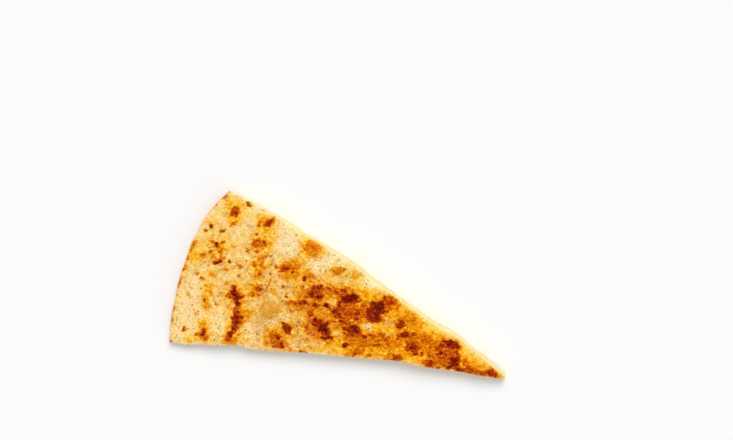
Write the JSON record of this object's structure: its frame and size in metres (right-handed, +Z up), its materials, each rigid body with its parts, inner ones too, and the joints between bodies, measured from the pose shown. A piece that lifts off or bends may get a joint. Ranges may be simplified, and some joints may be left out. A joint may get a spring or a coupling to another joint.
{
  "type": "quesadilla wedge",
  "caption": "Long triangular wedge cut from a toasted quesadilla: browned flour tortillas above and below a layer of melted cheese, with a curved rim and a blunt tip.",
  "frame": {"origin": "under the middle of the bounding box, on the flat underside", "axes": "+X from the curved rim towards the tip, +Y towards the cut that bows outwards, +Z up out of the toasted top"},
  "size_m": [0.1512, 0.0762, 0.0082],
  "materials": {
    "tortilla_top": "dry toasted flour tortilla: cream dough with golden patches, dark brown scorch marks and fine bran flecks, matte with a faint sheen of fat",
    "cheese": "melted cheese: pale cream yellow, smooth, softly glossy",
    "tortilla_bottom": "dry toasted flour tortilla: cream dough at the cut, golden with brown spots underneath"
  },
  "bodies": {
    "root": {"tortilla_top": "tortilla_top", "cheese_filling": "cheese", "tortilla_bottom": "tortilla_bottom"}
  },
  "joints": []
}
